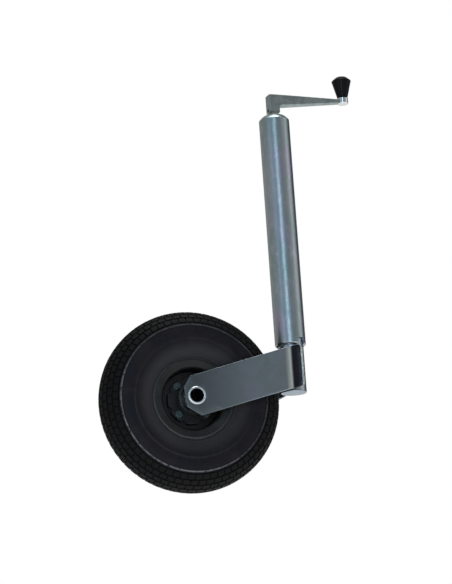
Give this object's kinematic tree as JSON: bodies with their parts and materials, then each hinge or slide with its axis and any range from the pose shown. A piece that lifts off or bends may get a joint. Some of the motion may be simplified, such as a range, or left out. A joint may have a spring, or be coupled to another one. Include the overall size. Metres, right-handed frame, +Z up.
{
  "type": "trailer tongue jack",
  "caption": "Jockey wheel for a trailer tongue: telescopic screw leg in zinc-plated tubes, crank with a turning knob, swivelling fork and a pneumatic wheel, held by its outer tube.",
  "frame": {"origin": "on the outer tube's axis, halfway up the straight wall that a clamp holds", "axes": "+Z up along the tube towards the crank; the wheel hangs on the -X side with its axle along Y"},
  "size_m": [0.4439, 0.108, 0.6722],
  "materials": {
    "zinc_tube": "zinc plated drawn tube, satin with fine lengthwise streaks",
    "zinc_plate": "zinc plated sheet, dull satin",
    "weld": "zinc plated weld bead, rippled",
    "fastener": "zinc plated",
    "crank_forging": "zinc plated forging, slightly rough",
    "bright_stud": "bright turned steel",
    "spring_steel": "dark spring steel",
    "black_knob": "glossy moulded plastic",
    "screw_steel": "greased steel",
    "bearing_steel": "ground and polished",
    "cage_brass": "stamped",
    "white_nylon": "moulded nylon",
    "seal_rubber": "moulded rubber",
    "tyre_rubber": "used rubber, matt",
    "tube_rubber": "butyl rubber",
    "valve_plastic": "moulded cap",
    "rim_plastic": "dark grey-green moulded rim, satin"
  },
  "bodies": {
    "outer": {"outer_tube": "zinc_tube", "bearing_seat": "screw_steel", "thrust_race_upper": "bearing_steel", "thrust_cage": "cage_brass", "thrust_balls": "bearing_steel"},
    "crank": {"crank_arm": "crank_forging", "crank_roll_pin": "spring_steel", "spindle": "screw_steel", "spindle_end_stop": "screw_steel", "thrust_race_lower": "bearing_steel", "knob_stud": "bright_stud", "knob_clip": "spring_steel"},
    "knob": {"crank_knob": "black_knob"},
    "nut": {"spindle_nut": "screw_steel"},
    "leg": {"inner_tube": "zinc_tube", "leg_end_plug": "zinc_plate", "guide_bush": "white_nylon", "nut_snap_ring": "spring_steel", "fork_arm_left": "zinc_plate", "fork_arm_right": "zinc_plate", "weld_beads": "weld", "axle_tube": "zinc_plate", "axle_spacers": "zinc_plate", "bearing_spacer": "screw_steel", "bearing_inner_rings": "bearing_steel"},
    "wheel": {"hub_sleeve": "zinc_plate", "bearing_outer_rings": "bearing_steel", "bearing_balls": "bearing_steel", "bearing_seals": "seal_rubber", "rim_half_left": "rim_plastic", "rim_half_right": "rim_plastic", "rim_bolts": "fastener", "rim_nuts": "fastener", "rim_washers": "fastener", "tyre": "tyre_rubber", "air_tube": "tube_rubber", "valve_stem": "tube_rubber", "valve_cap": "valve_plastic"}
  },
  "joints": [
    {"name": "crank_turn", "type": "hinge", "parent": "outer", "child": "crank", "pos_m": [0, 0, 0.2], "axis": [0, 0, -1], "range_deg": [0, 19800]},
    {"name": "knob_spin", "type": "hinge", "parent": "crank", "child": "knob", "pos_m": [0.1221, 0.01716, 0.245], "axis": [0, 0, 1], "continuous": true},
    {"name": "leg_slide", "type": "slide", "parent": "outer", "child": "nut", "axis": [0, 0, -1], "range_m": [0, 0.2201]},
    {"name": "leg_swivel", "type": "hinge", "parent": "nut", "child": "leg", "pos_m": [0, 0, -0.2], "axis": [0, 0, 1], "continuous": true},
    {"name": "wheel_spin", "type": "hinge", "parent": "leg", "child": "wheel", "pos_m": [-0.1663, 0, -0.27012], "axis": [0, 1, 0], "continuous": true}
  ],
  "couplings": [
    {"joint": "leg_slide", "follows": "crank_turn", "m_per_rad": 0.00063662}
  ]
}
